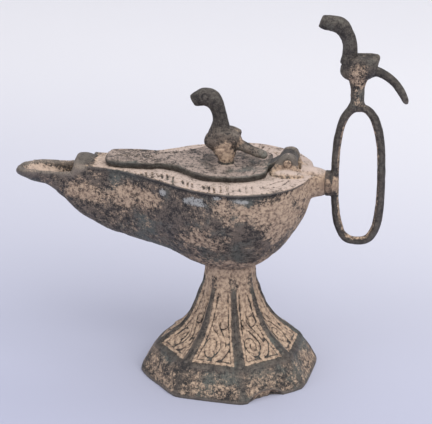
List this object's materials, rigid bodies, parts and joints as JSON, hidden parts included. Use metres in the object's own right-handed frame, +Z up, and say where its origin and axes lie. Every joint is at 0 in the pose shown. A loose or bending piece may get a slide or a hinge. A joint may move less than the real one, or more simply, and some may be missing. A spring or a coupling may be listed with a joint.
{
  "type": "hinged bronze oil lamp",
  "caption": "Boat-shaped bronze oil lamp with an open nozzle, a hinged lid with a bird on it, a ring handle with a second bird and a flaring eight-sided foot.",
  "frame": {"origin": "middle of the bounding box, on the ground", "axes": "+X from the nozzle to the handle, +Z up, +Y away from the pictured side"},
  "size_m": [0.1748, 0.08, 0.1695],
  "materials": {
    "foot_bronze": "cast bronze, dark patina on the ribs, buff earth in the scroll panels",
    "bowl_bronze": "cast bronze, mottled dark brown and grey-green patina with buff earth, pinkish dust on the deck",
    "lid_bronze": "cast bronze, dusty pinkish-tan top, dark edge and bird",
    "pin_bronze": "dark patinated bronze",
    "handle_bronze": "dark brown patinated bronze with tan wear on the bird and rust-brown braze at the joint"
  },
  "bodies": {
    "body": {"bowl": "bowl_bronze", "foot": "foot_bronze", "handle": "handle_bronze", "hinge_pin": "pin_bronze"},
    "lid": {"lid": "lid_bronze"}
  },
  "joints": [
    {"name": "lid_hinge", "type": "hinge", "parent": "body", "child": "lid", "pos_m": [0.03613, 0, 0.103], "axis": [0, 1, 0], "range_deg": [0, 70]}
  ]
}
